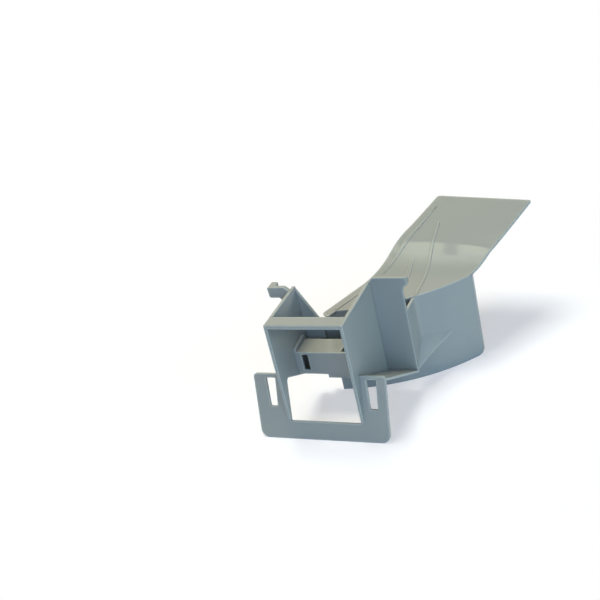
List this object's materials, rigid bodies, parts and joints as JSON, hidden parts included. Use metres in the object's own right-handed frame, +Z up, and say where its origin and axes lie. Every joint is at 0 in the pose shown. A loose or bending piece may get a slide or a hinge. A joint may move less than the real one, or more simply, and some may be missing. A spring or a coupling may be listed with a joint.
{
  "type": "mower mulching plug",
  "caption": "Grey moulded plastic mulching plug that closes the rear discharge tunnel of a rotary lawn mower.",
  "frame": {"origin": "middle of the lower front edge of the leaning seat flange, at the floor", "axes": "+X to the right along the seat flange, +Y into the discharge tunnel towards the blade housing, +Z up"},
  "size_m": [0.2757, 0.3126, 0.155],
  "materials": {
    "plug_plastic": "fine moulded satin, mid grey"
  },
  "bodies": {
    "root": {"mulching_plug": "plug_plastic"}
  },
  "joints": []
}
